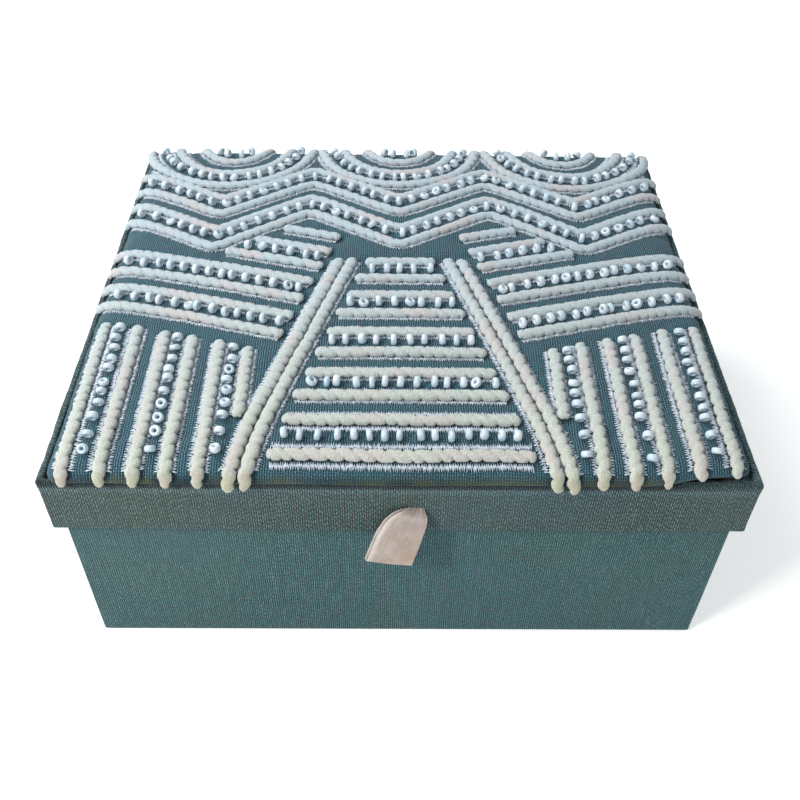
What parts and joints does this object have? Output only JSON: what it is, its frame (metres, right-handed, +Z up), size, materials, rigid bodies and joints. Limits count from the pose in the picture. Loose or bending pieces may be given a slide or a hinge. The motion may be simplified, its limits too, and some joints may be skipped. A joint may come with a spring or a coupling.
{
  "type": "fabric box",
  "caption": "Cloth-covered board box with a hinged rimmed lid, a padded panel of couched cord rows and a folded ribbon pull at the front.",
  "frame": {"origin": "middle of the box's bottom, on the surface that it stands on", "axes": "+X to the right along the width, +Y from the front with the ribbon pull to the hinged back, +Z up"},
  "size_m": [0.254, 0.2309, 0.1152],
  "materials": {
    "slub_cloth": "matt ribbed slub cotton, grey-green blue",
    "canvas": "matt coarse plain-weave canvas, slate blue",
    "greyboard": "raw greyboard",
    "white_card": "plain white card",
    "lining_cotton": "matt natural cotton",
    "bottom_paper": "matt paper",
    "pad_foam": "soft wadding",
    "cord_cotton": "soft off-white cotton cord",
    "ribbon_cotton": "matt fine-ribbed cotton ribbon"
  },
  "bodies": {
    "box": {"base_board": "greyboard", "body_cloth": "slub_cloth", "bottom_paper": "bottom_paper", "floor_lining": "lining_cotton", "hinge_leaf_body": "slub_cloth", "wall_board_back": "greyboard", "wall_board_front": "greyboard", "wall_board_left": "greyboard", "wall_board_right": "greyboard", "wall_lining_back": "lining_cotton", "wall_lining_front": "lining_cotton", "wall_lining_left": "lining_cotton", "wall_lining_right": "lining_cotton"},
    "lid": {"couched_cord_lower_left": "cord_cotton", "couched_cord_lower_right": "cord_cotton", "couched_cord_middle": "cord_cotton", "couched_cord_upper_left": "cord_cotton", "couched_cord_upper_right": "cord_cotton", "embroidered_panel": "canvas", "hinge_leaf_lid": "slub_cloth", "lid_board": "greyboard", "lid_lining": "lining_cotton", "pad_card": "white_card", "pad_foam": "pad_foam", "ribbon_tail": "ribbon_cotton", "rim_board_back": "greyboard", "rim_board_front": "greyboard", "rim_board_left": "greyboard", "rim_board_right": "greyboard", "rim_cloth": "slub_cloth", "scallop_cord_1": "cord_cotton", "scallop_cord_2": "cord_cotton", "scallop_cord_3": "cord_cotton", "spine_cord_inner_left": "cord_cotton", "spine_cord_inner_right": "cord_cotton", "spine_cord_outer_left": "cord_cotton", "spine_cord_outer_right": "cord_cotton", "zigzag_cord": "cord_cotton"},
    "ribbon": {"ribbon_tab": "ribbon_cotton"}
  },
  "joints": [
    {"name": "lid_hinge", "type": "hinge", "parent": "box", "child": "lid", "pos_m": [0, 0.1082, 0.074], "axis": [-1, 0, 0], "range_deg": [0, 94]},
    {"name": "ribbon_lift", "type": "hinge", "parent": "lid", "child": "ribbon", "pos_m": [0.0058, -0.1125, 0.087], "axis": [-1, 0, 0], "range_deg": [0, 75]}
  ]
}
